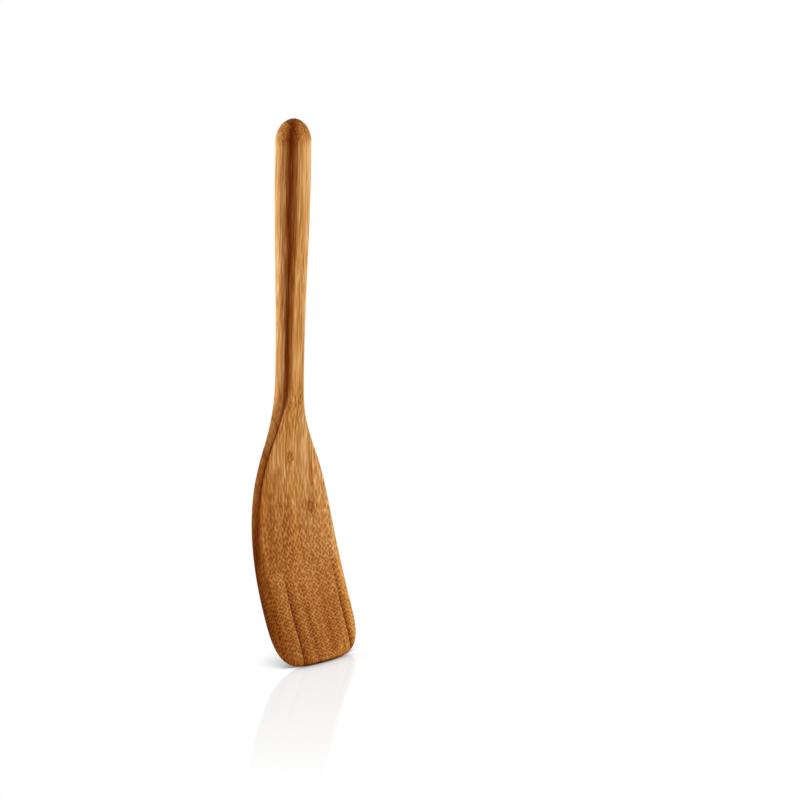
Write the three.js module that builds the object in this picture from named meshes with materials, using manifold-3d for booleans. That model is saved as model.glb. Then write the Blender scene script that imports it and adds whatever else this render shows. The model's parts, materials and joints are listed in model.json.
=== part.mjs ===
// A bamboo kitchen turner, shaped from a block of bamboo strips glued up in two layers.
// Millimetres. +Z runs up the handle, +X across the blade, and the hollow face looks towards -Y.
// The origin is under the middle of the turner, level with the tip that it stands on.

import * as THREE from 'three';
import { mergeVertices } from 'three/addons/utils/BufferGeometryUtils.js';
import Module from 'manifold-3d';

// Side view: a straight blade end, one bend and a straight handle, along the middle of the wood
const bladeStraight = 14;
const bendRadius = 251.2;
const bendAngle = THREE.MathUtils.degToRad(27.2);
const handleStraight = 190.6;

// Face view: how wide the turner is, and where along its length
const bladeWidth = 63.2;
const neckWidth = 16.5;
const gripWidth = 20.7;
const bladeParallel = 2.7;
const neckAboveBend = 38.5;
const gripParallel = 28.4;
const domeLength = 13.6;
const tipRoundLength = 37.6;
const tipRoundPower = 3.89;

// How far each end of a swept edge runs straight on, as a share of that edge's length
const shoulderEase = { blade: 0.697, neck: 0.397 };
const handleEase = { neck: 0.406, grip: 0.208 };

// Thickness, front to back
const tipThickness = 3.4;
const bladeThickness = 4.8;
const neckThickness = 13;
const gripThickness = 19.2;
const thinLength = 113;
const thickeningEase = { blade: 0.62, neck: 0.35 };

// Sections: flat front and back, with sides that round off this far in. The blade's front is crowned: it
// falls away to thin edges, widely at the tip and closely at the shoulders. So its widest line lies behind
// the middle of the wood, by a share of half the thickness. Its fall is a power of the sine of an oval.
const tipFrontRound = 20;
const shoulderFrontRound = 2;
const bladeBackRound = 1.5;
const bladeEdgeSetBack = 0.85;
const bladeFallPower = 2;
const ovalPower = 1;
const tipEdgeRound = 2.5;
const neckRound = 4.8;
const gripRound = 9.3;
const leastFlatShare = 0.05;

// The glued block: two layers of upright strips that meet on a plane in front of the handle's axis
const layerGluePlane = -13.7;
const rearStripWidth = 6.5;
const rearMiddleSeam = 2.1;
const frontStripWidth = 6.05;
const frontMiddleSeam = -2.4;
const narrowestEdgeStrip = 2;

// Carbonised bamboo, from the palest strip to the darkest
const bambooTones = { pale: '#cb9a5e', golden: '#c28a49', mid: '#b47d43', red: '#ab6f3a', dark: '#946031' };
const bambooRoughness = 0.45;

// The strips' tones, counted outwards from the middle seam of each layer
const rearTones = {
  left: ['red', 'mid', 'pale', 'red', 'dark'],
  right: ['pale', 'pale', 'mid', 'pale', 'pale'],
};
const frontTones = {
  left: ['mid', 'dark', 'mid', 'red', 'dark'],
  right: ['mid', 'mid', 'red', 'mid', 'dark', 'golden'],
};

// How finely the curves are stepped
const tipSteps = 8;
const shoulderSteps = 16;
const handleSteps = 7;
const domeSteps = 6;
const edgeSteps = 10;
const tipStartAngle = THREE.MathUtils.degToRad(8);

const bendLength = bendRadius * bendAngle;
const bendEnd = bladeStraight + bendLength;
const topEnd = bendEnd + handleStraight;
const bladeEnd = tipRoundLength + bladeParallel;
const neckAt = bendEnd + neckAboveBend;
const domeStart = topEnd - domeLength;
const gripAt = domeStart - gripParallel;

// A curve from one height to another along the length, level at both ends
function sweep(from, to, startHeight, endHeight, startEase, endEase) {
  const span = to - from;
  return new THREE.CubicBezierCurve(
    new THREE.Vector2(from, startHeight),
    new THREE.Vector2(from + span * startEase, startHeight),
    new THREE.Vector2(to - span * endEase, endHeight),
    new THREE.Vector2(to, endHeight),
  );
}

// The height of such a curve at a place along the length
function heightAt(curve, along) {
  let low = 0;
  let high = 1;
  const halvings = 40;
  for (let i = 0; i < halvings; i += 1) {
    const middle = (low + high) / 2;
    if (curve.getPoint(middle).x < along) low = middle;
    else high = middle;
  }
  return curve.getPoint(high).y;
}

const shoulderEdge = sweep(
  bladeEnd, neckAt, bladeWidth / 2, neckWidth / 2, shoulderEase.blade, shoulderEase.neck);
const handleEdge = sweep(
  neckAt, gripAt, neckWidth / 2, gripWidth / 2, handleEase.neck, handleEase.grip);
const thickening = sweep(
  thinLength, neckAt, bladeThickness / 2, neckThickness / 2, thickeningEase.blade, thickeningEase.neck);
const handleThickening = sweep(
  neckAt, gripAt, neckThickness / 2, gripThickness / 2, handleEase.neck, handleEase.grip);
const frontRounding = sweep(
  bendEnd, neckAt, shoulderFrontRound, neckRound, handleEase.neck, handleEase.grip);
const backRounding = sweep(
  thinLength, neckAt, bladeBackRound, neckRound, thickeningEase.blade, thickeningEase.neck);
const edgeCentring = sweep(
  thinLength, neckAt, bladeEdgeSetBack, 0, thickeningEase.blade, thickeningEase.neck);
const frontFall = sweep(
  thinLength, neckAt, bladeFallPower, ovalPower, thickeningEase.blade, thickeningEase.neck);
const gripRounding = sweep(
  neckAt, gripAt, neckRound, gripRound, handleEase.neck, handleEase.grip);

// Stations from the tip to the top: place along the length and half the width there
function outlineStations() {
  const stations = [];
  for (let i = 0; i <= tipSteps; i += 1) {
    const angle = THREE.MathUtils.lerp(tipStartAngle, Math.PI / 2, i / tipSteps);
    const back = Math.max(Math.cos(angle), 0) ** (2 / tipRoundPower);
    const out = Math.sin(angle) ** (2 / tipRoundPower);
    stations.push({ along: tipRoundLength * (1 - back), half: (bladeWidth / 2) * out });
  }
  for (const point of shoulderEdge.getPoints(shoulderSteps)) {
    stations.push({ along: point.x, half: point.y });
  }
  for (const point of handleEdge.getPoints(handleSteps).slice(1)) {
    stations.push({ along: point.x, half: point.y });
  }
  for (let i = 0; i < domeSteps; i += 1) {
    const angle = (i / domeSteps) * (Math.PI / 2);
    const along = domeStart + domeLength * Math.sin(angle);
    stations.push({ along, half: (gripWidth / 2) * Math.cos(angle), dome: Math.cos(angle) });
  }
  return stations;
}

// Half the thickness at a station: a straight taper on the blade, then swelling into the handle
function halfThickness({ along, dome = 1 }) {
  if (along < thinLength) {
    const taper = THREE.MathUtils.lerp(tipThickness, bladeThickness, along / thinLength) / 2;
    const inFromTip = Math.min(along / tipEdgeRound, 1);
    return taper * Math.sqrt(1 - (1 - inFromTip) ** 2);
  }
  if (along < neckAt) return heightAt(thickening, along);
  if (along < gripAt) return heightAt(handleThickening, along);
  return (gripThickness / 2) * dome;
}

// How far the front of a side rounds off, in from the widest line: on the blade it narrows fast from the tip
function frontRound({ along }) {
  if (along < bendEnd) {
    const toShoulder = 1 - along / bendEnd;
    return THREE.MathUtils.lerp(shoulderFrontRound, tipFrontRound, toShoulder * toShoulder);
  }
  if (along < neckAt) return heightAt(frontRounding, along);
  return heightAt(gripRounding, along);
}

// How far the back of a side rounds off, in from the widest line
function backRound({ along }) {
  if (along < thinLength) return bladeBackRound;
  if (along < neckAt) return heightAt(backRounding, along);
  return heightAt(gripRounding, along);
}

// A rounding as it fits into a station: smaller on the dome, and short of the middle where the wood is narrow
function fittedRound(round, { half, dome = 1 }) {
  return Math.min(round * dome, half * (1 - leastFlatShare));
}

// How far the widest line lies behind the middle of the wood, as a share of half the thickness
function edgeSetBack({ along }) {
  if (along < thinLength) return bladeEdgeSetBack;
  if (along < neckAt) return heightAt(edgeCentring, along);
  return 0;
}

// The power of the sine by which the front of a side falls away
function fallPower({ along }) {
  if (along < thinLength) return bladeFallPower;
  if (along < neckAt) return heightAt(frontFall, along);
  return ovalPower;
}

// The middle of the wood at a place along the length, and the way the back faces there
function centreLine(along) {
  const turned = THREE.MathUtils.clamp((bendEnd - along) / bendRadius, 0, bendAngle);
  const beyond = Math.max(bladeStraight - along, 0);
  const above = Math.max(along - bendEnd, 0);
  const sin = Math.sin(turned);
  const cos = Math.cos(turned);
  return {
    y: -bendRadius * (1 - cos) - beyond * sin,
    z: -bendRadius * sin - beyond * cos + above,
    back: new THREE.Vector3(0, cos, -sin),
  };
}

// One closed section: flats at the front and back, and sides that fall away to a widest line between them
function sectionRing(station) {
  const depth = halfThickness(station);
  const widest = depth * edgeSetBack(station);
  const power = fallPower(station);
  const frontReach = fittedRound(frontRound(station), station);
  const backReach = fittedRound(backRound(station), station);
  const centre = centreLine(station.along);
  const ring = [];
  for (const side of [1, -1]) {
    for (let i = 0; i <= edgeSteps; i += 1) {
      const turn = side * (i / edgeSteps - 0.5) * Math.PI;
      const reach = turn < 0 ? frontReach : backReach;
      const x = side * (station.half - reach * (1 - Math.cos(turn)));
      const front = -(depth + widest) * Math.max(-Math.sin(turn), 0) ** power;
      const back = (depth - widest) * Math.max(Math.sin(turn), 0);
      const out = widest + front + back;
      ring.push(new THREE.Vector3(x, centre.y, centre.z).addScaledVector(centre.back, out));
    }
  }
  return ring;
}

// The whole turner before it is divided: sections joined from the tip to the top of the handle
function turnerBlank() {
  const rings = outlineStations().map(sectionRing);
  const perRing = rings[0].length;
  const top = centreLine(topEnd);
  const points = [...rings.flat(), new THREE.Vector3(0, top.y, top.z)];
  const triangles = [];
  for (let i = 1; i < perRing - 1; i += 1) triangles.push(0, i + 1, i);
  for (let ring = 0; ring + 1 < rings.length; ring += 1) {
    for (let i = 0; i < perRing; i += 1) {
      const next = (i + 1) % perRing;
      const lower = ring * perRing;
      const upper = lower + perRing;
      triangles.push(lower + i, lower + next, upper + next);
      triangles.push(lower + i, upper + next, upper + i);
    }
  }
  const last = (rings.length - 1) * perRing;
  for (let i = 0; i < perRing; i += 1) {
    triangles.push(last + i, last + ((i + 1) % perRing), points.length - 1);
  }
  const blank = new THREE.BufferGeometry().setFromPoints(points);
  blank.setIndex(triangles);
  return blank;
}

const wasm = await Module();
wasm.setup();

function solidOf(geometry) {
  const bare = geometry.clone();
  bare.deleteAttribute('normal');
  bare.deleteAttribute('uv');
  const merged = mergeVertices(bare);
  return new wasm.Manifold(new wasm.Mesh({
    numProp: 3,
    vertProperties: new Float32Array(merged.attributes.position.array),
    triVerts: new Uint32Array(merged.index.array),
  }));
}

function geometryOf(solid) {
  const mesh = solid.getMesh();
  const geometry = new THREE.BufferGeometry();
  geometry.setAttribute('position', new THREE.BufferAttribute(mesh.vertProperties, 3));
  geometry.setIndex(new THREE.BufferAttribute(mesh.triVerts, 1));
  geometry.computeVertexNormals();
  return geometry;
}

const blank = solidOf(turnerBlank());
const blankBox = blank.boundingBox();
const clearOfWood = 2 * (topEnd + bladeWidth);

// The strips of a layer, from left to right: the seams at their sides, and their place beside the middle
// seam. The outermost strips have no outer seam, and run on past the edge of the wood.
function layerStrips(middleSeam, stripWidth) {
  const outermost = bladeWidth / 2 - narrowestEdgeStrip;
  const first = Math.ceil((-outermost - middleSeam) / stripWidth);
  const last = Math.floor((outermost - middleSeam) / stripWidth);
  const strips = [];
  for (let i = first - 1; i <= last; i += 1) {
    strips.push({
      left: i < first ? -clearOfWood : middleSeam + i * stripWidth,
      right: i === last ? clearOfWood : middleSeam + (i + 1) * stripWidth,
      side: i < 0 ? 'left' : 'right',
      number: i < 0 ? -i : i + 1,
    });
  }
  return strips;
}

// The wood of one strip on one side of the layers' glue plane, as separate bodies from the lowest up
function stripBodies({ left, right }, front, rear) {
  const slab = new THREE.BoxGeometry(right - left, rear - front, 2 * clearOfWood);
  slab.translate((left + right) / 2, (front + rear) / 2, 0);
  const bodies = blank.intersect(solidOf(slab)).decompose();
  return bodies.sort((a, b) => a.boundingBox().min[2] - b.boundingBox().min[2]);
}

const turner = new THREE.Group();
turner.name = 'bamboo_turner';
turner.position.set(0, -(blankBox.min[1] + blankBox.max[1]) / 2, -blankBox.min[2]);

function addStrip(solid, place, { side, number }, tones) {
  const material = new THREE.MeshStandardMaterial({
    color: bambooTones[tones[side][(number - 1) % tones[side].length]],
    roughness: bambooRoughness,
    metalness: 0,
  });
  const strip = new THREE.Mesh(geometryOf(solid), material);
  strip.name = `${place}_strip_${side}_${number}`;
  turner.add(strip);
}

// Rear layer: the upper blade, with the strips in the middle running on through the handle
for (const strip of layerStrips(rearMiddleSeam, rearStripWidth)) {
  for (const body of stripBodies(strip, layerGluePlane, clearOfWood)) {
    const reachesHandle = body.boundingBox().max[2] > neckAboveBend;
    addStrip(body, reachesHandle ? 'handle' : 'upper_blade', strip, rearTones);
  }
}

// Front layer: the lower blade down to the tip
for (const strip of layerStrips(frontMiddleSeam, frontStripWidth)) {
  for (const body of stripBodies(strip, -clearOfWood, layerGluePlane)) {
    addStrip(body, 'lower_blade', strip, frontTones);
  }
}

export default turner;
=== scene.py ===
# %% [markdown]
# # A bamboo turner
# The turner is sawn and sanded out of a block of bamboo strips, which were glued side by side in two
# layers. So each strip is a piece of its own here. The first cell loads the strips' solids, which say where
# every strip is, and keeps the box around them.

# %% Load the frame
import json
import math
from types import SimpleNamespace

import bpy
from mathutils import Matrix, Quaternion, Vector


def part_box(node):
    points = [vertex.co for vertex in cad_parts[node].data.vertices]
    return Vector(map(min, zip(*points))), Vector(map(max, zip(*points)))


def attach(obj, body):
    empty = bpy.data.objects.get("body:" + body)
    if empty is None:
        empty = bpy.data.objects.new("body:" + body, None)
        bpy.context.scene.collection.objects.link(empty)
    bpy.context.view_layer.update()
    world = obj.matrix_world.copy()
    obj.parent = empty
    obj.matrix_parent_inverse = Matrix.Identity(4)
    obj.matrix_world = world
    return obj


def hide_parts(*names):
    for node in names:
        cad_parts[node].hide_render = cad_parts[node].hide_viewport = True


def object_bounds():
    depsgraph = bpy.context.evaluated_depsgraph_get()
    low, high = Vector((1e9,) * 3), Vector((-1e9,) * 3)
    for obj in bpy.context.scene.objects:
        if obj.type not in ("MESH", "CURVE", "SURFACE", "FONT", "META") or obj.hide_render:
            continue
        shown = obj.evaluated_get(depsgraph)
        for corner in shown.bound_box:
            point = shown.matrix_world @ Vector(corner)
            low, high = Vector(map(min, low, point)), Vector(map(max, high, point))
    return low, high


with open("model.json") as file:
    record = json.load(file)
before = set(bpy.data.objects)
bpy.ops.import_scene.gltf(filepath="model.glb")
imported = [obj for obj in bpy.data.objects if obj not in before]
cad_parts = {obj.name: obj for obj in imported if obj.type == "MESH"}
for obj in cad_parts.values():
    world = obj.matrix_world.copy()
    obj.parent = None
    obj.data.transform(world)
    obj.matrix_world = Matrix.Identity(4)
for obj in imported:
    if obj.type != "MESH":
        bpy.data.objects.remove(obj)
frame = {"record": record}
solid_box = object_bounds()
slot_of = {row["node"]: row["material_slot"] for row in frame["record"]["subparts"]}
print(f"{len(slot_of)} strips, {solid_box[1].z - solid_box[0].z:.3f} m tall")

# %% [markdown]
# ## Two small helpers
# Colours are written as sRGB hex values, as a colour picker gives them, and shader sockets want linear
# light, so one function turns one into the other. Node trees are long lists of nodes, so one function adds
# a node, sets it up, feeds its inputs with values or with other nodes' outputs, and gives back the output
# that the next node needs.

# %% Colour and node helpers
MM = 0.001


def linear(hex_colour):
    channels = [int(hex_colour[i:i + 2], 16) / 255 for i in (1, 3, 5)]
    return (*[c / 12.92 if c <= 0.04045 else ((c + 0.055) / 1.055) ** 2.4 for c in channels], 1.0)


def add(tree, kind, inputs=None, out=0, **settings):
    node = tree.nodes.new(kind)
    for name, value in settings.items():
        setattr(node, name, value)
    for socket, value in (inputs or {}).items():
        if isinstance(value, bpy.types.NodeSocket):
            tree.links.new(value, node.inputs[socket])
        else:
            node.inputs[socket].default_value = value
    return node.outputs[out] if len(node.outputs) else node


print("white is", linear("#ffffff"))

# %% [markdown]
# ## The shape along its length
# Seen from the side, the turner is a straight blade end, one bend and a straight handle. Seen from the
# front, its edges are a rounded tip, two shoulders that sweep in to the neck, and a handle that swells again
# to a domed end. A box model with a subdivision surface could give that, but every measure would then sit in
# the places of a few cage points. Here the measures stay as they are on the real thing: a few hundred
# stations along the middle of the wood each carry their own width, thickness and rounding.

# %% Sizes, in millimetres
blade_straight = 14.0
bend_radius = 251.2
bend_angle = math.radians(27.2)
handle_straight = 190.6
blade_width, neck_width, grip_width = 63.2, 16.5, 20.7
tip_thickness, blade_thickness, neck_thickness, grip_thickness = 3.4, 4.8, 13.0, 19.2
tip_front_round, shoulder_front_round, blade_back_round = 20.0, 2.0, 1.5
neck_round, grip_round = 4.8, 9.3
blade_edge_set_back, blade_fall_power = 0.85, 2.0
tip_edge_round, tip_round_length, tip_round_power = 2.5, 37.6, 3.89
blade_parallel, thin_length, neck_above_bend, grip_parallel, dome_length = 2.7, 113.0, 38.5, 28.4, 13.6
least_flat_share = 0.05

bend_end = blade_straight + bend_radius * bend_angle
top_end = bend_end + handle_straight
blade_end = tip_round_length + blade_parallel
neck_at = bend_end + neck_above_bend
dome_start = top_end - dome_length
grip_at = dome_start - grip_parallel
print(f"{top_end:.1f} mm along the middle of the wood")

# %% [markdown]
# Each swept edge leaves and arrives level, like a cubic handle curve with both of its handles lying flat.
# A curve gives points for its own running number, and a station asks for a place along the length, so the
# running number is found by halving the interval. The eases are the lengths of the two handles, as shares of
# the sweep.

# %% Swept curves
shoulder_eases = 0.697, 0.397
handle_eases = 0.406, 0.208
thickening_eases = 0.62, 0.35
halvings = 40


def swept(along, start, end, low, high, eases):
    nearer, further = 0.0, 1.0
    for _ in range(halvings):
        t = (nearer + further) / 2
        reached = 3 * t * (1 - t) ** 2 * eases[0] + 3 * t * t * (1 - t) * (1 - eases[1]) + t ** 3
        if start + (end - start) * reached < along:
            nearer = t
        else:
            further = t
    return low + (high - low) * (3 * further ** 2 - 2 * further ** 3)


def handle_shape(along, blade_value, neck_value, grip_value, blade_from, eases):
    if along < blade_from:
        return blade_value
    if along < neck_at:
        return swept(along, blade_from, neck_at, blade_value, neck_value, eases)
    return swept(min(along, grip_at), neck_at, grip_at, neck_value, grip_value, handle_eases)


def into_handle(along, blade_value, neck_value, grip_value):
    return handle_shape(along, blade_value, neck_value, grip_value, thin_length, thickening_eases)


middle_width = handle_shape(bend_end, blade_width, neck_width, grip_width, blade_end, shoulder_eases)
print(f"{middle_width:.1f} mm wide at the end of the bend")

# %% [markdown]
# A station is one place along the middle of the wood, with everything that its section needs. The blade's
# face is rounded off over a wide strip at the tip, over less and less of it towards the shoulders, and the
# neck and the grip get rounder again. Stations stand closer together where the tip and the dome curve most.

# %% Stations
tip_stations, length_stations, dome_stations = 72, 260, 32
tip_crowding = 1.5


def front_round(along):
    if along < bend_end:
        to_tip = 1 - along / bend_end
        return shoulder_front_round + (tip_front_round - shoulder_front_round) * to_tip ** 2
    if along < neck_at:
        return swept(along, bend_end, neck_at, shoulder_front_round, neck_round, handle_eases)
    return swept(min(along, grip_at), neck_at, grip_at, neck_round, grip_round, handle_eases)


def station(along, half, dome=1.0):
    depth = into_handle(along, blade_thickness, neck_thickness, grip_thickness) / 2 * dome
    if along < thin_length:
        in_from_tip = min(along / tip_edge_round, 1.0)
        taper = tip_thickness + (blade_thickness - tip_thickness) * along / thin_length
        depth = taper / 2 * math.sqrt(1 - (1 - in_from_tip) ** 2)
    most_reach = half * (1 - least_flat_share)
    turned = min(max((bend_end - along) / bend_radius, 0.0), bend_angle)
    beyond = max(blade_straight - along, 0.0)
    above = max(along - bend_end, 0.0)
    y = -bend_radius * (1 - math.cos(turned)) - beyond * math.sin(turned)
    z = -bend_radius * math.sin(turned) - beyond * math.cos(turned) + above
    return {
        "middle": (0.0, y, z), "back": (0.0, math.cos(turned), -math.sin(turned)),
        "half": half, "depth": depth,
        "front": min(front_round(along) * dome, most_reach),
        "behind": min(into_handle(along, blade_back_round, neck_round, grip_round) * dome, most_reach),
        "widest": into_handle(along, blade_edge_set_back, 0.0, 0.0) * depth,
        "fall": into_handle(along, blade_fall_power, 1.0, 1.0),
    }


stations = []
for i in range(tip_stations):
    angle = math.pi / 2 * (i / tip_stations) ** tip_crowding
    along = tip_round_length * (1 - math.cos(angle) ** (2 / tip_round_power))
    stations.append(station(along, blade_width / 2 * math.sin(angle) ** (2 / tip_round_power)))
for i in range(length_stations):
    along = tip_round_length + (dome_start - tip_round_length) * i / length_stations
    width = handle_shape(along, blade_width, neck_width, grip_width, blade_end, shoulder_eases)
    stations.append(station(along, width / 2))
for i in range(dome_stations + 1):
    angle = math.pi / 2 * i / dome_stations
    dome = max(math.cos(angle), 0.0) if i < dome_stations else 0.0
    stations.append(station(dome_start + dome_length * math.sin(angle), grip_width / 2 * dome, dome))
print(f"{len(stations)} stations")

# %% [markdown]
# The handle's solids place the wood in the frame: their back is half a grip's thickness behind the handle's
# axis, and their top is the top of the handle. The stations then become a mesh of loose points, the spine,
# with their measures as attributes, because that is a form that Geometry Nodes can read.

# %% The spine
handle_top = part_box("handle_strip_left_1")[1]
axis_at = Vector((0.0, handle_top.y - grip_thickness / 2 * MM, handle_top.z - handle_straight * MM))
spine_mesh = bpy.data.meshes.new("spine")
spine_mesh.from_pydata([axis_at + Vector(s["middle"]) * MM for s in stations], [], [])
lengths = ("half", "depth", "front", "behind", "widest")
for name in (*lengths, "fall"):
    measure = spine_mesh.attributes.new(name, "FLOAT", "POINT")
    measure.data.foreach_set("value", [s[name] * (MM if name in lengths else 1) for s in stations])
back = spine_mesh.attributes.new("back", "FLOAT_VECTOR", "POINT")
back.data.foreach_set("vector", [c for s in stations for c in s["back"]])
blank = bpy.data.objects.new("turner_blank", spine_mesh)
bpy.context.scene.collection.objects.link(blank)
print(f"handle axis at y = {axis_at.y:.6f} m")

# %% [markdown]
# ## The skin over the spine
# The whole skin is one grid, with a row for each station and a column for each point round the section. The
# points go up the right side of a section, from its front to its back, and then down the left side. The tree
# first finds out, for every grid point, which station it belongs to and how far round the section it is.

# %% Skin tree: the grid
skin_tree = bpy.data.node_groups.new("skin_over_spine", "GeometryNodeTree")
for name, kind in (
        ("Spine", "Geometry"), ("Stations", "Int"), ("Side Points", "Int"), ("Bamboo", "Material")):
    skin_tree.interface.new_socket(name, in_out="INPUT", socket_type="NodeSocket" + kind)
skin_tree.interface.new_socket("Skin", in_out="OUTPUT", socket_type="NodeSocketGeometry")
given = skin_tree.nodes.new("NodeGroupInput").outputs
ring_points = add(skin_tree, "ShaderNodeMath", {0: given["Side Points"], 1: 2.0}, operation="MULTIPLY")
columns = add(skin_tree, "ShaderNodeMath", {0: ring_points, 1: 1.0}, operation="ADD")
grid = add(skin_tree, "GeometryNodeMeshGrid", {"Vertices X": given["Stations"], "Vertices Y": columns})
index = add(skin_tree, "GeometryNodeInputIndex")
row = add(skin_tree, "ShaderNodeMath", {0: index, 1: columns}, operation="DIVIDE")
row = add(skin_tree, "ShaderNodeMath", {0: row}, operation="FLOOR")
column = add(skin_tree, "ShaderNodeMath", {0: index, 1: columns}, operation="MODULO")
ring_place = add(skin_tree, "ShaderNodeMath", {0: column, 1: ring_points}, operation="MODULO")
on_left = add(skin_tree, "ShaderNodeMath", {0: ring_place, 1: given["Side Points"]}, operation="DIVIDE")
on_left = add(skin_tree, "ShaderNodeMath", {0: on_left}, operation="FLOOR")
side = add(skin_tree, "ShaderNodeMath", {0: on_left, 1: -2.0, 2: 1.0}, operation="MULTIPLY_ADD")
side_place = add(skin_tree, "ShaderNodeMath", {0: ring_place, 1: given["Side Points"]}, operation="MODULO")
side_steps = add(skin_tree, "ShaderNodeMath", {0: given["Side Points"], 1: 1.0}, operation="SUBTRACT")
share = add(skin_tree, "ShaderNodeMath", {0: side_place, 1: side_steps}, operation="DIVIDE")
turn = add(skin_tree, "ShaderNodeMath", {0: share, 1: math.pi, 2: -math.pi / 2}, operation="MULTIPLY_ADD")
measures = {}
for name, kind in (*((n, "FLOAT") for n in (*lengths, "fall")), ("back", "FLOAT_VECTOR")):
    named = add(skin_tree, "GeometryNodeInputNamedAttribute", {"Name": name}, data_type=kind)
    measures[name] = add(
        skin_tree, "GeometryNodeSampleIndex",
        {"Geometry": given["Spine"], "Value": named, "Index": row}, data_type=kind)
middle = add(
    skin_tree, "GeometryNodeSampleIndex",
    {"Geometry": given["Spine"], "Value": add(skin_tree, "GeometryNodeInputPosition"), "Index": row},
    data_type="FLOAT_VECTOR")
print(f"{len(measures)} measures for each grid point")

# %% [markdown]
# Every section across the turner follows one rule: flat at the front and the back, with sides that fall away
# to a widest line. On the handle that line is in the middle and the sides are half ovals. On the blade it
# lies near the back, and the front falls away to it like a parabola, so the edges are thin. The fall is
# a sine with a power: 1 gives the oval and 2 the parabola. Set Position then puts every grid point where the
# rule says.

# %% Skin tree: the rule for a section
to_back = add(skin_tree, "ShaderNodeMath", {0: turn}, operation="SINE")
to_back = add(skin_tree, "ShaderNodeMath", {0: to_back, 1: side}, operation="MULTIPLY")
at_front = add(skin_tree, "ShaderNodeMath", {0: to_back, 1: 0.0}, operation="LESS_THAN")
reach = add(skin_tree, "ShaderNodeMix", {0: at_front, 2: measures["behind"], 3: measures["front"]})
across = add(skin_tree, "ShaderNodeMath", {0: turn}, operation="COSINE")
across = add(skin_tree, "ShaderNodeMath", {0: across, 1: 1.0}, operation="SUBTRACT")
across = add(
    skin_tree, "ShaderNodeMath", {0: across, 1: reach, 2: measures["half"]}, operation="MULTIPLY_ADD")
across = add(skin_tree, "ShaderNodeMath", {0: across, 1: side}, operation="MULTIPLY")
depth, widest = measures["depth"], measures["widest"]
front_depth = add(skin_tree, "ShaderNodeMath", {0: depth, 1: widest}, operation="ADD")
back_depth = add(skin_tree, "ShaderNodeMath", {0: depth, 1: widest}, operation="SUBTRACT")
fall = add(skin_tree, "ShaderNodeMath", {0: to_back}, operation="ABSOLUTE")
fall = add(skin_tree, "ShaderNodeMath", {0: fall, 1: measures["fall"]}, operation="POWER")
fall = add(skin_tree, "ShaderNodeMath", {0: fall, 1: front_depth}, operation="MULTIPLY")
fall = add(skin_tree, "ShaderNodeMath", {0: widest, 1: fall}, operation="SUBTRACT")
rise_back = add(
    skin_tree, "ShaderNodeMath", {0: to_back, 1: back_depth, 2: widest}, operation="MULTIPLY_ADD")
outward = add(skin_tree, "ShaderNodeMix", {0: at_front, 2: rise_back, 3: fall})
outward = add(skin_tree, "ShaderNodeVectorMath", {0: measures["back"], "Scale": outward}, operation="SCALE")
sideways = add(skin_tree, "ShaderNodeCombineXYZ", {"X": across})
ring_at = add(skin_tree, "ShaderNodeVectorMath", {0: sideways, 1: outward}, operation="ADD")
ring_at = add(skin_tree, "ShaderNodeVectorMath", {0: ring_at, 1: middle}, operation="ADD")
skin = add(skin_tree, "GeometryNodeSetPosition", {"Geometry": grid, "Position": ring_at})
print(f"skin tree so far: {len(skin_tree.nodes)} nodes")

# %% [markdown]
# The grid's two long edges meet, and so do the points of its first row and of its last row. These are
# merged, and the skin is closed.

# %% Skin tree: closing the skin
same_number = 0.5
touching_distance = 1e-7
last_row = add(skin_tree, "ShaderNodeMath", {0: given["Stations"], 1: 1.0}, operation="SUBTRACT")
meeting = [
    add(skin_tree, "ShaderNodeMath", {0: a, 1: b, 2: same_number}, operation="COMPARE")
    for a, b in ((row, 0.0), (row, last_row), (column, 0.0), (column, ring_points))]
for other in meeting[1:]:
    meeting[0] = add(skin_tree, "ShaderNodeMath", {0: meeting[0], 1: other}, operation="MAXIMUM")
skin = add(
    skin_tree, "GeometryNodeMergeByDistance",
    {"Geometry": skin, "Selection": meeting[0], "Distance": touching_distance})
skin = add(skin_tree, "GeometryNodeSetShadeSmooth", {"Geometry": skin})
skin = add(skin_tree, "GeometryNodeRealizeInstances", {"Geometry": skin})
skin = add(skin_tree, "GeometryNodeSetMaterial", {"Geometry": skin, "Material": given["Bamboo"]})
add(skin_tree, "NodeGroupOutput", {"Skin": skin})
print(f"skin tree: {len(skin_tree.nodes)} nodes")

# %% [markdown]
# ## Carbonised bamboo
# The brown of this bamboo is not a stain: the strips are steamed under pressure until their sugars
# caramelise, and that gives honey and toffee tones that differ from strip to strip. Bamboo has no growth
# rings. Its grain is thousands of fibre bundles that all run along the stem, packed closer towards the skin
# side of each strip. Where the wood is cut along the stem, as on the handle, they show as long streaks, and
# where the tilted blade cuts across them they show as rows of short strokes in a zigzag.
#
# An image or a stretched noise could draw either look, but not both. So this is a solid texture: bundles are
# placed in staggered rows in the plane across the stem and run straight through the wood, and every cut
# shows what a real cut would show. It takes a few steps. Each is a function that adds its nodes to the
# material's tree and keeps the outputs that later steps need.
#
# The first step asks where a point is: in millimetres, within its own strip, and in grain that no other
# strip has, which is the same place moved on by the strip's seed.

# %% Bamboo step: place in the strip
seed_moves = 31.7, 17.3, 53.1


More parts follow.
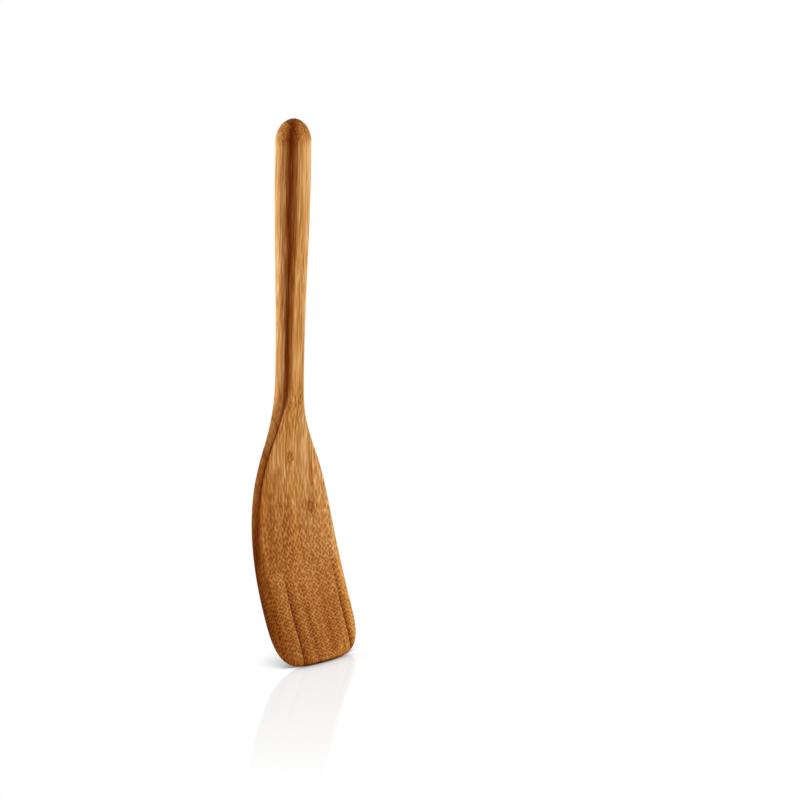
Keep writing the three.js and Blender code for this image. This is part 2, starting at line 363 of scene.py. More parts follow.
def find_place(tree, wood):
    coords = add(tree, "ShaderNodeTexCoord", out="Object")
    at = add(tree, "ShaderNodeVectorMath", {0: coords, "Scale": 1 / MM}, operation="SCALE")
    _, wood.y, wood.z = add(tree, "ShaderNodeSeparateXYZ", {0: at}).node.outputs
    place = add(tree, "ShaderNodeAttribute", out="Vector", attribute_name="strip_place")
    wood.from_left, wood.from_right, wood.rise = add(tree, "ShaderNodeSeparateXYZ", {0: place}).node.outputs
    growth = add(tree, "ShaderNodeAttribute", out="Vector", attribute_name="strip_growth")
    seed, wood.skin_side, wood.tone = add(tree, "ShaderNodeSeparateXYZ", {0: growth}).node.outputs
    shading = add(tree, "ShaderNodeAttribute", out="Vector", attribute_name="strip_shade")
    wood.shade, wood.skin_front, _ = add(tree, "ShaderNodeSeparateXYZ", {0: shading}).node.outputs
    normal = add(tree, "ShaderNodeTexCoord", out="Normal")
    _, wood.behind, wood.facing_up = add(tree, "ShaderNodeSeparateXYZ", {0: normal}).node.outputs
    own = add(tree, "ShaderNodeCombineXYZ", {"X": seed, "Y": seed, "Z": seed})
    wood.own = add(tree, "ShaderNodeVectorMath", {0: own, 1: seed_moves, 2: at}, operation="MULTIPLY_ADD")


print(f"each strip's grain is moved on by {Vector(seed_moves).length:.0f} mm")

# %% [markdown]
# The bundles wander a little on their way up, and at a culm node, a short stretch of the stem, they swirl
# and knot together. The wood between the bundles has streaks: fine ones, and broad ones that run far up the
# stem. Each of these is a noise, with its waves per millimetre across, through and along the stem.

# %% Bamboo step: grain of the stem
wander_waves, wander_reach = (0.03, 0.03, 0.014), 1.1
swirl_waves, swirl_reach = 0.3, 2.0
knot_height = 4.5
fine_waves = 1.9, 1.3, 0.055
broad_waves = 0.4, 0.4, 0.008
noise_middle = 0.5


def grow_grain(tree, wood):
    middles = (noise_middle, noise_middle, noise_middle)
    knot = add(tree, "ShaderNodeMath", {0: wood.rise, 1: knot_height}, operation="DIVIDE")
    knot = add(tree, "ShaderNodeMath", {0: knot, 1: knot}, operation="MULTIPLY")
    knot = add(tree, "ShaderNodeMath", {0: knot, 1: -1.0}, operation="MULTIPLY")
    wood.knot = add(tree, "ShaderNodeMath", {0: knot}, operation="EXPONENT")

    slow = add(tree, "ShaderNodeVectorMath", {0: wood.own, 1: wander_waves}, operation="MULTIPLY")
    wander = add(tree, "ShaderNodeTexNoise", {"Vector": slow, "Scale": 1.0, "Detail": 1.0}, out="Color")
    wander = add(tree, "ShaderNodeVectorMath", {0: wander, 1: middles}, operation="SUBTRACT")
    wander = add(tree, "ShaderNodeVectorMath", {0: wander, "Scale": 2 * wander_reach}, operation="SCALE")
    swirl = add(
        tree, "ShaderNodeTexNoise", {"Vector": wood.own, "Scale": swirl_waves, "Detail": 1.0}, out="Color")
    swirl = add(tree, "ShaderNodeVectorMath", {0: swirl, 1: middles}, operation="SUBTRACT")
    at_knot = add(tree, "ShaderNodeMath", {0: wood.knot, 1: 2 * swirl_reach}, operation="MULTIPLY")
    wood.swirl = add(tree, "ShaderNodeVectorMath", {0: swirl, "Scale": at_knot}, operation="SCALE")
    grown = add(tree, "ShaderNodeVectorMath", {0: wood.own, 1: wander}, operation="ADD")
    wood.grown = add(tree, "ShaderNodeVectorMath", {0: grown, 1: wood.swirl}, operation="ADD")

    fine = add(tree, "ShaderNodeVectorMath", {0: wood.grown, 1: fine_waves}, operation="MULTIPLY")
    fine = add(tree, "ShaderNodeTexNoise", {"Vector": fine, "Scale": 1.0, "Detail": 2.0})
    wood.fine = add(tree, "ShaderNodeMath", {0: fine, 1: noise_middle}, operation="SUBTRACT")
    broad = add(tree, "ShaderNodeVectorMath", {0: wood.grown, 1: broad_waves}, operation="MULTIPLY")
    wood.broad = add(tree, "ShaderNodeTexNoise", {"Vector": broad, "Scale": 1.0, "Detail": 1.0})


print(f"streaks {1 / fine_waves[0]:.1f} and {1 / broad_waves[0]:.1f} mm wide")

# %% [markdown]
# Real bundles are 0.6 to 1 mm apart. Here they are drawn 2 mm long in one direction, because finer ones melt
# together at the size of the picture. A Voronoi texture gives their places, turned by an eighth of a turn so
# that the rows are staggered.
#
# A strip's skin side is at its left or its right seam, and bundles get denser towards it. One strip of the
# handle is browned towards its front instead, as if its skin side were there. That is painted shade: it
# deepens the dark core of the handle, where neither soft box reaches. Its edge is ragged, because the fine
# streaks move it back and forth.

# %% Bamboo step: fibre bundles
bundle_across, bundle_deep, bundle_scatter = 2.0, 0.66, 0.45
bundle_rim, bundle_heart = 0.62, 0.18
palest_bundle = 0.75
skin_brown_least, skin_brown_of_tone = 0.2, 0.7
loose_density = 0.75
# Where the painted shade of the handle's dark core starts and is full, in mm from the back, and how far the
# fine streaks move its edge.
core_shade_starts, core_shade_full, core_shade_ragged = 12.0, 5.0, -11.0


def pack_bundles(tree, wood):
    staggered = add(tree, "ShaderNodeMapping", {
        "Vector": wood.grown, "Rotation": (0.0, 0.0, math.pi / 4),
        "Scale": (1 / bundle_across, 1 / bundle_deep, 1.0)})
    cells = add(
        tree, "ShaderNodeTexVoronoi", {"Vector": staggered, "Scale": 1.0, "Randomness": bundle_scatter},
        voronoi_dimensions="2D").node.outputs
    sheath = add(tree, "ShaderNodeMapRange", {
        "Value": cells["Distance"], "From Min": bundle_rim, "From Max": bundle_heart},
        interpolation_type="SMOOTHSTEP")
    wide = add(tree, "ShaderNodeMath", {0: wood.from_left, 1: wood.from_right}, operation="ADD")
    share = add(tree, "ShaderNodeMath", {0: wood.from_left, 1: wide}, operation="DIVIDE")
    share = add(tree, "ShaderNodeMath", {0: share, 1: wood.skin_side}, operation="SUBTRACT")
    share = add(tree, "ShaderNodeMath", {0: share}, operation="ABSOLUTE")
    dense = add(tree, "ShaderNodeMath", {0: 1.0, 1: share}, operation="SUBTRACT")
    dense = add(tree, "ShaderNodeMath", {0: dense, 1: dense}, operation="MULTIPLY")
    # Painted shade: on the handle's front strip, brown grows towards the front and deepens the dark core
    # between the lamps.
    front_core_shade = add(
        tree, "ShaderNodeMath", {0: wood.fine, 1: core_shade_ragged, 2: wood.y}, operation="MULTIPLY_ADD")
    front_core_shade = add(tree, "ShaderNodeMapRange", {
        "Value": front_core_shade, "From Min": core_shade_starts, "From Max": core_shade_full})
    wood.dense = add(tree, "ShaderNodeMix", {0: wood.skin_front, 2: dense, 3: front_core_shade})
    wood.skin_brown = add(
        tree, "ShaderNodeMath", {0: wood.tone, 1: skin_brown_of_tone, 2: skin_brown_least},
        operation="MULTIPLY_ADD")
    density = add(
        tree, "ShaderNodeMath", {0: wood.dense, 1: wood.skin_brown, 2: loose_density},
        operation="MULTIPLY_ADD")
    each = add(tree, "ShaderNodeSeparateColor", {0: cells["Color"]})
    each = add(tree, "ShaderNodeMapRange", {"Value": each, "To Min": palest_bundle, "To Max": 1.0})
    fibres = add(tree, "ShaderNodeMath", {0: sheath, 1: density}, operation="MULTIPLY")
    wood.fibres = add(tree, "ShaderNodeMath", {0: fibres, 1: each}, operation="MULTIPLY")


print(f"bundles {bundle_across} by {bundle_deep} mm")

# %% [markdown]
# Oiled wood gets darker and more saturated together: blue goes first, then green, then red. Mixing two
# browns misses that. So each strip has one pale honey colour here, a depth of brown is added up for every
# point, and the honey is multiplied by a caramel tint that is raised to the power of that depth.
#
# Cut ends of fibres drink more oil than their sides, so the tilted blade is darker than the handle, and its
# bundles break into strokes. The thin edge round the tip is darkest where it faces down, but not on the
# back:
# that is painted shade under the tip. The domed end of the handle would show rings in this way, so most of
# that is held back there, and it gets an even brown.

# %% Bamboo step: cut ends and painted tip shade
fibre_brown_along, fibre_brown_cut = 0.3, 2.2
cut_brown, most_cut = 1.6, 0.5
stroke_waves, stroke_brown = (0.9, 3.4, 0.02), 3.1
# Painted shade under the tip: faces that look down near the tip, but not on the back, get this much brown.
tip_shade_brown = 1.1
tip_shade_slope_none, tip_shade_slope_full = 0.35, -0.15
tip_shade_height_none, tip_shade_height_full = 45.0, 15.0
tip_shade_back_none, tip_shade_back_full = 0.8, 0.4
dome_height_none, dome_height_full = 302.0, 308.0
dome_brown, dome_held_back = 0.25, 0.75


def brown_the_cuts(tree, wood):
    # Painted shade: brown on faces that look down near the tip, as shade under the tip would darken them.
    tip_shade = add(tree, "ShaderNodeMapRange", {
        "Value": wood.facing_up, "From Min": tip_shade_slope_none, "From Max": tip_shade_slope_full,
        "To Max": tip_shade_brown})
    at_tip = add(tree, "ShaderNodeMapRange", {
        "Value": wood.z, "From Min": tip_shade_height_none, "From Max": tip_shade_height_full})
    tip_shade = add(tree, "ShaderNodeMath", {0: tip_shade, 1: at_tip}, operation="MULTIPLY")
    off_back = add(tree, "ShaderNodeMapRange", {
        "Value": wood.behind, "From Min": tip_shade_back_none, "From Max": tip_shade_back_full})
    tip_shade = add(tree, "ShaderNodeMath", {0: tip_shade, 1: off_back}, operation="MULTIPLY")
    dome = add(tree, "ShaderNodeMapRange", {
        "Value": wood.z, "From Min": dome_height_none, "From Max": dome_height_full})
    off_dome = add(tree, "ShaderNodeMath", {0: dome, 1: -dome_held_back, 2: 1.0}, operation="MULTIPLY_ADD")
    cut = add(tree, "ShaderNodeMath", {0: wood.facing_up}, operation="ABSOLUTE")
    cut = add(tree, "ShaderNodeMath", {0: cut, 1: most_cut}, operation="MINIMUM")
    wood.cut = add(tree, "ShaderNodeMath", {0: cut, 1: off_dome}, operation="MULTIPLY")
    thirst = add(
        tree, "ShaderNodeMath", {0: wood.cut, 1: fibre_brown_cut, 2: fibre_brown_along},
        operation="MULTIPLY_ADD")
    strokes = add(tree, "ShaderNodeVectorMath", {0: wood.grown, 1: stroke_waves}, operation="MULTIPLY")
    strokes = add(tree, "ShaderNodeTexNoise", {"Vector": strokes, "Scale": 1.0, "Detail": 1.0})
    strokes = add(tree, "ShaderNodeMath", {0: strokes, 1: noise_middle}, operation="SUBTRACT")
    on_cut = add(tree, "ShaderNodeMath", {0: wood.cut, 1: stroke_brown}, operation="MULTIPLY")
    depth = add(tree, "ShaderNodeMath", {0: wood.fibres, 1: thirst}, operation="MULTIPLY")
    for brown, weight in ((wood.cut, cut_brown), (tip_shade, 1.0), (dome, dome_brown), (strokes, on_cut)):
        depth = add(tree, "ShaderNodeMath", {0: brown, 1: weight, 2: depth}, operation="MULTIPLY_ADD")
    wood.depth = depth


print(f"worn below {tip_shade_height_none:.0f} mm, dome above {dome_height_none:.0f} mm")

# %% [markdown]
# The streaks, the dense skin side and the knots each add brown by their own weight. Streaks show less on
# cut ends. A layer of strips runs out to nothing where the two layers meet, and the brown of its skin sides
# fades with it. In a knot sits its eye, a dark ring in the middle of the strip, which the swirl bends and
# breaks.

# %% Bamboo step: streaks and knots
fine_brown, fine_brown_on_cut = 2.3, -3.8
broad_brown, broad_brown_on_cut = 1.1, -1.2
layer_fade, layer_least = 8.0, 0.1
knot_brown = 0.3
eye_radius, eye_flatness, eye_bend = 1.2, 0.45, 0.9
eye_rim, eye_heart, eye_brown = 0.7, 0.1, 0.7
layer_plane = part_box("lower_blade_strip_left_1")[1].y / MM


def brown_the_grain(tree, wood):
    gap = add(tree, "ShaderNodeMath", {0: wood.y, 1: layer_plane}, operation="SUBTRACT")
    wood.in_rear = add(tree, "ShaderNodeMath", {0: gap, 1: 0.0}, operation="GREATER_THAN")
    wood.layer_gap = add(tree, "ShaderNodeMath", {0: gap}, operation="ABSOLUTE")
    layer_depth = add(tree, "ShaderNodeMapRange", {
        "Value": wood.layer_gap, "From Max": layer_fade, "To Min": layer_least})
    skin_dense = add(tree, "ShaderNodeMath", {0: wood.dense, 1: layer_depth}, operation="MULTIPLY")
    fine_weight = add(
        tree, "ShaderNodeMath", {0: wood.cut, 1: fine_brown_on_cut, 2: fine_brown}, operation="MULTIPLY_ADD")
    broad_weight = add(
        tree, "ShaderNodeMath", {0: wood.cut, 1: broad_brown_on_cut, 2: broad_brown},
        operation="MULTIPLY_ADD")
    aside = add(tree, "ShaderNodeMath", {0: wood.from_left, 1: wood.from_right}, operation="SUBTRACT")
    eye = add(tree, "ShaderNodeCombineXYZ", {
        "X": add(tree, "ShaderNodeMath", {0: aside, 1: 0.5}, operation="MULTIPLY"),
        "Y": add(tree, "ShaderNodeMath", {0: wood.rise, 1: eye_flatness}, operation="MULTIPLY")})
    eye = add(
        tree, "ShaderNodeVectorMath", {0: wood.swirl, 1: (eye_bend, eye_bend, 0.0), 2: eye},
        operation="MULTIPLY_ADD")
    eye = add(tree, "ShaderNodeVectorMath", {0: eye}, out="Value", operation="LENGTH")
    eye = add(tree, "ShaderNodeMath", {0: eye, 1: eye_radius}, operation="SUBTRACT")
    eye = add(tree, "ShaderNodeMath", {0: eye}, operation="ABSOLUTE")
    eye = add(tree, "ShaderNodeMapRange", {
        "Value": eye, "From Min": eye_rim, "From Max": eye_heart, "To Max": eye_brown},
        interpolation_type="SMOOTHSTEP")
    for brown, weight in (
            (wood.fine, fine_weight), (wood.broad, broad_weight), (skin_dense, wood.skin_brown),
            (wood.knot, knot_brown), (eye, 1.0)):
        wood.depth = add(
            tree, "ShaderNodeMath", {0: brown, 1: weight, 2: wood.depth}, operation="MULTIPLY_ADD")


print(f"the two layers meet at y = {layer_plane:.2f} mm")

# %% [markdown]
# The glue shows as a thin dark line at each seam, stronger in the rear layer, and hardly at all where the
# two layers meet. Last comes the strip's own shade, only on faces that are turned to the front, so that its
# flanks and its back keep the plain colour of the wood. That shade is partly painted light and shade: it
# darkens the left side of the blade, where light falls off, and makes its right edge paler, where light
# catches it.

# %% Bamboo step: seams and shade
glue_half_width = 0.24
seam_brown, seam_brown_more_in_rear, layer_line_brown = 0.25, 0.5, 0.15
shade_turn_none, shade_turn_full = -0.2, -0.75
depth_taken_off = -0.68


def brown_the_seams(tree, wood):
    seam = add(tree, "ShaderNodeMath", {0: wood.from_left, 1: wood.from_right}, operation="MINIMUM")
    seam_line = add(
        tree, "ShaderNodeMath", {0: wood.in_rear, 1: seam_brown_more_in_rear, 2: seam_brown},
        operation="MULTIPLY_ADD")
    for gap, brown in ((seam, seam_line), (wood.layer_gap, layer_line_brown)):
        line = add(tree, "ShaderNodeMapRange", {
            "Value": gap, "From Min": glue_half_width, "From Max": 0.0, "To Max": brown},
            interpolation_type="SMOOTHSTEP")
        wood.depth = add(tree, "ShaderNodeMath", {0: wood.depth, 1: line}, operation="ADD")
    # The strip's shade, partly painted light and shade, is kept to faces turned to the front, so the flanks
    # keep a lit rim.
    painted_shading_on_face = add(tree, "ShaderNodeMapRange", {
        "Value": wood.behind, "From Min": shade_turn_none, "From Max": shade_turn_full})
    depth = add(tree, "ShaderNodeMath", {0: wood.shade, 1: painted_shading_on_face, 2: wood.depth}, operation="MULTIPLY_ADD")
    wood.depth = add(tree, "ShaderNodeMath", {0: depth, 1: depth_taken_off}, operation="ADD")


print(f"glue lines {2 * glue_half_width:.2f} mm wide")

# %% [markdown]
# The material puts the steps together. Sanding leaves the fibres a little proud of the soft wood between
# them, which gives a fine relief. Oil soaks into bamboo and leaves it satin, so it is fairly rough to light
# and mirrors next to nothing.

# %% Carbonised bamboo, sanded and oiled
caramel = "#be9967"
honeys = {
    "bamboo_pale": "#d1ac6e", "bamboo_golden": "#d0a862", "bamboo_mid": "#cea463", "bamboo_red": "#ca9d58",
    "bamboo_dark": "#c09048",
}
relief_of_streaks, relief_strength, relief_height = 0.6, 0.3, 0.06 * MM
bamboo_steps = find_place, grow_grain, pack_bundles, brown_the_cuts, brown_the_grain, brown_the_seams


def carbonised_bamboo(name, honey):
    material = bpy.data.materials.new(name)
    material.use_nodes = True
    tree = material.node_tree
    tree.nodes.clear()
    wood = SimpleNamespace()
    for step in bamboo_steps:
        step(tree, wood)
    toffee = add(tree, "ShaderNodeGamma", {"Color": linear(caramel), "Gamma": wood.depth})
    colour = add(
        tree, "ShaderNodeMix", {0: 1.0, 6: linear(honey), 7: toffee}, out=2, data_type="RGBA",
        blend_type="MULTIPLY")
    relief = add(
        tree, "ShaderNodeMath", {0: wood.fine, 1: relief_of_streaks, 2: wood.fibres},
        operation="MULTIPLY_ADD")
    sanded = add(tree, "ShaderNodeBump", {
        "Height": relief, "Strength": relief_strength, "Distance": relief_height})
    oiled = add(tree, "ShaderNodeBsdfPrincipled", {
        "Base Color": colour, "Roughness": 0.55, "Normal": sanded, "IOR": 1.5, "Specular IOR Level": 0.025})
    add(tree, "ShaderNodeOutputMaterial", {"Surface": oiled})
    return material


bamboo = {slot: carbonised_bamboo("carbonised_" + slot, honey) for slot, honey in honeys.items()}
print(f"{len(bamboo)} tones of bamboo, {len(bamboo['bamboo_mid'].node_tree.nodes)} nodes each")

# %% [markdown]
# ## The sanded blank
# With the material at hand, the skin tree runs once. A modifier's inputs are set by the identifiers of its
# sockets, and the result is then taken as a plain mesh, so that nothing is left to evaluate later.

# %% Run the skin tree
side_points = 33


def run_tree(piece, tree, **values):
    modifier = piece.modifiers.new(tree.name, "NODES")
    modifier.node_group = tree
    for socket in tree.interface.items_tree:
        key = socket.name.lower().replace(" ", "_")
        if socket.in_out == "INPUT" and key in values:
            modifier[socket.identifier] = values[key]
    result = piece.evaluated_get(bpy.context.evaluated_depsgraph_get())
    mesh = bpy.data.meshes.new_from_object(result)
    piece.modifiers.remove(modifier)
    piece.data = mesh


run_tree(blank, skin_tree, stations=len(stations), side_points=side_points, bamboo=bamboo["bamboo_mid"])
print(f"blank: {len(blank.data.vertices)} points, {len(blank.data.polygons)} faces")

# %% [markdown]
# ## Cutting the strips apart
# The glued strips meet face to face on flat seams, so a strip is what the blank has in common with an
# upright box between two seams, on one side of the plane where the two layers meet. A bisect operator could
# cut the blank step by step, but one tree with a box and a Boolean does it for all strips.

# %% Strip tree: the cut
strip_tree = bpy.data.node_groups.new("strip_of_block", "GeometryNodeTree")
for name, kind in (
        ("Blank", "Geometry"), ("Low Corner", "Vector"), ("High Corner", "Vector"), ("Seed", "Float"),
        ("Skin Side", "Float"), ("Skin Front", "Float"), ("Tone", "Float"), ("Shade", "Float"),
        ("Knot At", "Float"), ("Bamboo", "Material")):
    strip_tree.interface.new_socket(name, in_out="INPUT", socket_type="NodeSocket" + kind)
strip_tree.interface.new_socket("Strip", in_out="OUTPUT", socket_type="NodeSocketGeometry")
given = strip_tree.nodes.new("NodeGroupInput").outputs
low_corner, high_corner = given["Low Corner"], given["High Corner"]
size = add(strip_tree, "ShaderNodeVectorMath", {0: high_corner, 1: low_corner}, operation="SUBTRACT")
centre = add(
    strip_tree, "ShaderNodeVectorMath", {0: size, 1: (0.5, 0.5, 0.5), 2: low_corner},
    operation="MULTIPLY_ADD")
block = add(strip_tree, "GeometryNodeMeshCube", {"Size": size})
block = add(strip_tree, "GeometryNodeSetPosition", {"Geometry": block, "Offset": centre})
strip = add(
    strip_tree, "GeometryNodeMeshBoolean", {"Mesh 2": given["Blank"]}, operation="INTERSECT",
    solver="MANIFOLD")
strip_tree.links.new(block, strip.node.inputs["Mesh 2"])
print(f"strip tree so far: {len(strip_tree.nodes)} nodes")

# %% [markdown]
# The tree also writes down what the grain needs to know: how far a point is from the seams and from a culm
# node, and the strip's own seed, skin side, tone and shade. The sawn edges stay sharp, and the sanded
# outside stays smooth.

# %% Strip tree: what the grain needs
sharp_edge = math.radians(35)
position = add(strip_tree, "GeometryNodeInputPosition")
from_low = add(strip_tree, "ShaderNodeVectorMath", {0: position, 1: low_corner}, operation="SUBTRACT")
to_high = add(strip_tree, "ShaderNodeVectorMath", {0: high_corner, 1: position}, operation="SUBTRACT")
height = add(strip_tree, "ShaderNodeSeparateXYZ", {0: position}, out="Z")
rise = add(strip_tree, "ShaderNodeMath", {0: height, 1: given["Knot At"]}, operation="SUBTRACT")
place = add(strip_tree, "ShaderNodeCombineXYZ", {
    "X": add(strip_tree, "ShaderNodeSeparateXYZ", {0: from_low}),
    "Y": add(strip_tree, "ShaderNodeSeparateXYZ", {0: to_high}), "Z": rise})
place = add(strip_tree, "ShaderNodeVectorMath", {0: place, "Scale": 1 / MM}, operation="SCALE")
growth = add(strip_tree, "ShaderNodeCombineXYZ", {
    "X": given["Seed"], "Y": given["Skin Side"], "Z": given["Tone"]})
shading = add(strip_tree, "ShaderNodeCombineXYZ", {"X": given["Shade"], "Y": given["Skin Front"]})
for name, value in (("strip_place", place), ("strip_growth", growth), ("strip_shade", shading)):
    strip = add(
        strip_tree, "GeometryNodeStoreNamedAttribute", {"Geometry": strip, "Name": name, "Value": value},
        data_type="FLOAT_VECTOR", domain="POINT")
strip = add(strip_tree, "GeometryNodeSetShadeSmooth", {"Geometry": strip})
sawn = add(strip_tree, "GeometryNodeInputMeshEdgeAngle")
sawn = add(strip_tree, "ShaderNodeMath", {0: sawn, 1: sharp_edge}, operation="GREATER_THAN")
strip = add(
    strip_tree, "GeometryNodeSetShadeSmooth", {"Geometry": strip, "Selection": sawn, "Shade Smooth": False},
    domain="EDGE")
strip = add(strip_tree, "GeometryNodeRealizeInstances", {"Geometry": strip})
strip = add(strip_tree, "GeometryNodeSetMaterial", {"Geometry": strip, "Material": given["Bamboo"]})
add(strip_tree, "NodeGroupOutput", {"Strip": strip})
print(f"strip tree: {len(strip_tree.nodes)} nodes")

# %% [markdown]
# The strips come from different stems, so no two look alike. A strip's tone is how brown its skin side is,
# and its shade is how much darker or, below zero, paler its face is. These are partly the strips' own colour
# and partly painted light and shade: strips at the left of the blade are darkened as painted shade, and
# those at its right edge are made paler as painted light. Culm nodes sit at some height on two
# strips, in millimetres, as they happened to fall. The other strips have theirs far below the turner.

# %% Tones, shades and knots
# Painted shading as well as tone: shades above zero at the blade's left paint shade, shades below zero at
# its right edge paint light.
tone_and_painted_shading = {
    "upper_blade_strip_left_5": (0.0, -0.1),
    "upper_blade_strip_left_4": (0.0, 0.35),
    "upper_blade_strip_left_3": (0.0, 0.4),
    "handle_strip_left_2": (0.4, 0.0),
    "handle_strip_left_1": (0.1, -0.05),
    "handle_strip_right_1": (0.0, 0.15),
    "upper_blade_strip_right_2": (0.0, 0.1),
    "upper_blade_strip_right_3": (0.0, -0.1),
    "upper_blade_strip_right_4": (0.0, -0.1),
    "upper_blade_strip_right_5": (0.0, -0.2),
    "lower_blade_strip_left_5": (0.6, 0.15),
    "lower_blade_strip_left_4": (0.3, 0.15),
    "lower_blade_strip_left_2": (0.9, 0.0),
    "lower_blade_strip_left_1": (0.3, 0.0),
    "lower_blade_strip_right_5": (1.5, -0.35),
    "lower_blade_strip_right_6": (0.0, -0.2),
}
plain_strip = 0.0, 0.0
skin_at_right = ("lower_blade_strip_left_1", "upper_blade_strip_left_4", "right_2", "right_6")
# Painted shade: this handle strip is browned towards its front to deepen the handle's dark core.
core_shade_strip = "handle_strip_left_2"
knots_at = {"handle_strip_left_1": 115.7, "upper_blade_strip_right_2": 83.6}
no_knot = -1000
print(f"{len(tone_and_painted_shading)} strips differ from a plain one, {len(knots_at)} have a knot")

# %% [markdown]
# Each strip takes its seams from the box of its solid. A strip at the edge of the blade has no seam on its
# outer side, and neither has the thin strip at the right edge of the grip, so their boxes are opened up past
# the wood there. The blank itself is used up in the end.

# %% The strips
past_the_wood = 1 * MM
grip_edge_strip = "handle_strip_right_2"
for number, node in enumerate(sorted(slot_of)):
    low, high = (corner.copy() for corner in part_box(node))
    low.z -= past_the_wood
    high.z += past_the_wood
    if node.startswith("lower"):
        low.y, high.y = low.y - past_the_wood, layer_plane * MM
    else:
        low.y, high.y = layer_plane * MM, high.y + past_the_wood
    if low.x < solid_box[0].x + past_the_wood:
        low.x -= past_the_wood
    if high.x > solid_box[1].x - past_the_wood or node == grip_edge_strip:
        high.x += past_the_wood
    tone, shade = tone_and_painted_shading.get(node, plain_strip)
    piece = bpy.data.objects.new("bamboo_" + node, blank.data)
    bpy.context.scene.collection.objects.link(piece)
    run_tree(
        piece, strip_tree, low_corner=low, high_corner=high, seed=float(number),
        skin_side=1.0 if node.endswith(skin_at_right) else 0.0,
        skin_front=1.0 if node == core_shade_strip else 0.0, tone=tone, shade=shade,
        knot_at=knots_at.get(node, no_knot) * MM, bamboo=bamboo[slot_of[node]])
    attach(piece, "root")
    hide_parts(node)
    print(f"{piece.name}: {len(piece.data.polygons)} faces")
bpy.data.objects.remove(blank)

# %% [markdown]
# ## Floor and light
# The turner stands on a white studio floor that melts into a white background. Lighting a floor until it is
# white would flood the wood with light from below, so floor and background are white to the camera and to
# reflections only, and give the wood a warm, dim fill light. One function tells the two kinds of rays apart,
# for both of them.

# %% Rays that see white
fill_light = linear("#863e0a")
white_light = linear("#ffffff")


def sees_white(tree):
    rays = add(tree, "ShaderNodeLightPath").node.outputs
    seeing = rays["Is Camera Ray"]
    for other in ("Is Glossy Ray", "Is Transmission Ray"):
        seeing = add(tree, "ShaderNodeMath", {0: seeing, 1: rays[other]}, operation="MAXIMUM")
    return seeing


print("fill light", [round(c, 3) for c in fill_light])

# %% [markdown]
# What the object does to the floor stays: it is darker where the object closes off the space above it, first
# within a few centimetres and then once more close to the tip, and it mirrors a little, less and less with
# the distance from the tip.

# %% Floor
floor_half = 6.0
shadow_samples = 16
shadows = (30 * MM, 0.2, 0.85, 0.0), (9 * MM, 0.35, 0.85, 0.15)
mirror_most, mirror_reach, mirror_roughness = 0.18, 0.2, 0.06
visual_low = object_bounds()[0].z
tip_at = Vector((0.0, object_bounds()[0].y, visual_low))
floor_mesh = bpy.data.meshes.new("floor")
floor_mesh.from_pydata(
    [(x * floor_half, y * floor_half, visual_low) for x, y in ((-1, -1), (1, -1), (1, 1), (-1, 1))],
    [], [(0, 1, 2, 3)])
floor = bpy.data.objects.new("studio_floor", floor_mesh)
bpy.context.scene.collection.objects.link(floor)
acrylic = bpy.data.materials.new("white_acrylic_floor")
acrylic.use_nodes = True
tree = acrylic.node_tree
tree.nodes.clear()
open_above = []
for distance, black_at, white_at, least in shadows:
    space = add(tree, "ShaderNodeAmbientOcclusion", {"Distance": distance}, out="AO", samples=shadow_samples)
    open_above.append(add(tree, "ShaderNodeMapRange", {
        "Value": space, "From Min": black_at, "From Max": white_at, "To Min": least}))
lit = add(tree, "ShaderNodeMath", {0: open_above[0], 1: open_above[1]}, operation="MULTIPLY")
white = add(tree, "ShaderNodeEmission", {"Strength": lit})
mirror = add(tree, "ShaderNodeBsdfGlossy", {"Color": white_light, "Roughness": mirror_roughness})
away = add(
    tree, "ShaderNodeVectorMath", {0: add(tree, "ShaderNodeTexCoord", out="Object"), 1: tip_at}, out="Value",
    operation="DISTANCE")
mirroring = add(tree, "ShaderNodeMapRange", {
    "Value": away, "From Max": mirror_reach, "To Min": mirror_most, "To Max": 0.0})
seen = add(tree, "ShaderNodeMixShader", {0: mirroring, 1: white, 2: mirror})
fill = add(tree, "ShaderNodeEmission", {"Color": fill_light})
floor_look = add(tree, "ShaderNodeMixShader", {0: sees_white(tree), 1: fill, 2: seen})
add(tree, "ShaderNodeOutputMaterial", {"Surface": floor_look})
floor_mesh.materials.append(acrylic)
print(f"floor at {visual_low:.5f} m")

# %% [markdown]
# Two tall soft boxes stand at the sides of the turner, as the camera sees it: one to the right, and one to
# the left and a little behind. Each lights its own side of the round handle, and between them stays the dark
# core that makes it look round.

# %% Soft boxes and surroundings
camera_azimuth, camera_elevation = -41.0, 19.22
box_distance, box_height, box_width, box_length = 1.1, 0.2, 0.3, 0.8
middle_height = 0.16


def soft_box(name, azimuth, watts):
    lamp = bpy.data.lights.new(name, "AREA")
    lamp.shape = "RECTANGLE"
    lamp.size, lamp.size_y, lamp.energy = box_width, box_length, watts
    box = bpy.data.objects.new(name, lamp)
    angle = math.radians(camera_azimuth + azimuth)
    box.location = (box_distance * math.sin(angle), -box_distance * math.cos(angle), box_height)
    towards = Vector((0.0, 0.0, middle_height)) - box.location
    box.rotation_mode = "QUATERNION"
    box.rotation_quaternion = towards.to_track_quat("-Z", "Y")
    box.visible_camera = False
    bpy.context.scene.collection.objects.link(box)


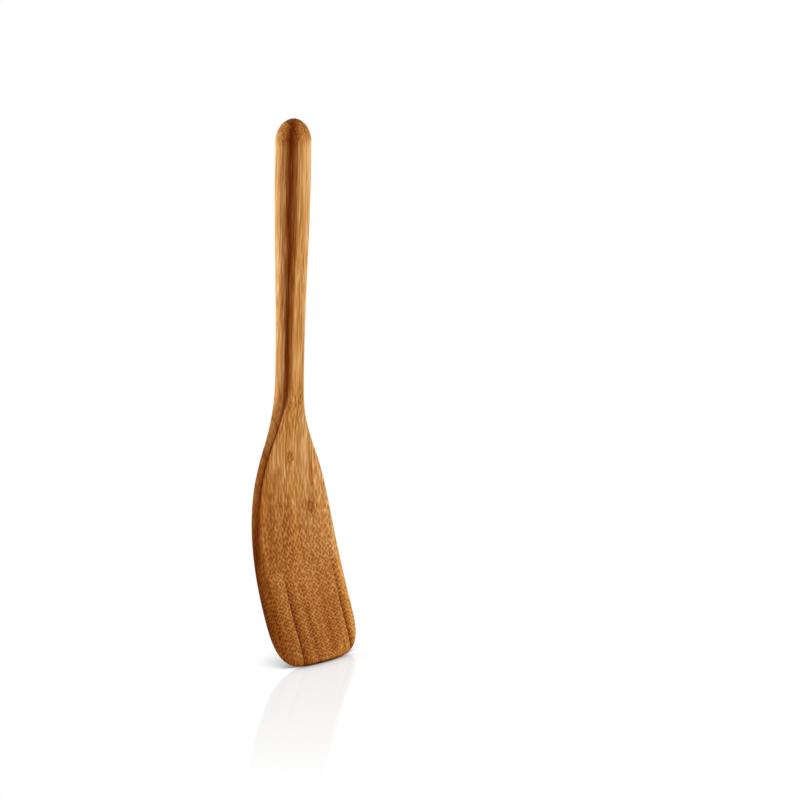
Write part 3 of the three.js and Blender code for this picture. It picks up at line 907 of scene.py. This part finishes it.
soft_box("right_soft_box", azimuth=86, watts=18.6)
soft_box("left_soft_box", azimuth=-97, watts=19.6)
world = bpy.data.worlds.new("studio")
bpy.context.scene.world = world
world.use_nodes = True
tree = world.node_tree
tree.nodes.clear()
surround = add(
    tree, "ShaderNodeMix", {0: sees_white(tree), 6: fill_light, 7: white_light}, out=2, data_type="RGBA")
backdrop = add(tree, "ShaderNodeBackground", {"Color": surround})
add(tree, "ShaderNodeOutputWorld", {"Surface": backdrop})
bpy.context.scene.view_settings.view_transform = "Standard"
print("two soft boxes and a white backdrop")

# %% [markdown]
# ## Camera
# The photograph shows the turner from the left of its face and a little above, from far away, with the
# turner left of the middle. One point on the handle's axis, a little above the bend, is seen at a known
# place in the picture. The camera looks at a point beside it, as far away as the middle of the picture is.

# %% Camera
picture = 800
mm_per_pixel = 0.570
roll = math.radians(1.029)
lens = 1100.0
point_above_bend = 41.05
seen_at = Vector((289.69, 367.7))
handle_point = axis_at + Vector((0.0, 0.0, point_above_bend * MM))
azimuth, elevation = math.radians(camera_azimuth), math.radians(camera_elevation)
backwards = Vector((
    math.sin(azimuth) * math.cos(elevation), -math.cos(azimuth) * math.cos(elevation), math.sin(elevation)))
turn_to = backwards.to_track_quat("Z", "Y") @ Quaternion((0.0, 0.0, 1.0), roll)
rightwards, upwards = turn_to @ Vector((1, 0, 0)), turn_to @ Vector((0, 1, 0))
to_centre = (Vector((picture / 2, picture / 2)) - seen_at) * mm_per_pixel * MM
target = handle_point + rightwards * to_centre.x - upwards * to_centre.y
lens_data = bpy.data.cameras.new("camera")
lens_data.lens = lens
camera = bpy.data.objects.new("camera", lens_data)
camera_distance = picture * mm_per_pixel * MM * lens / lens_data.sensor_width
camera.location = target + backwards * camera_distance
camera.rotation_mode = "QUATERNION"
camera.rotation_quaternion = turn_to
bpy.context.scene.collection.objects.link(camera)
bpy.context.scene.camera = camera
print(f"camera {camera_distance:.2f} m away")

# %% [markdown]
# ## Size
# The finished wood is meant to be the size of its solids, and the box around the solids is printed.

# %% Size and finish
print("solids", [tuple(round(v, 5) for v in c) for c in solid_box])
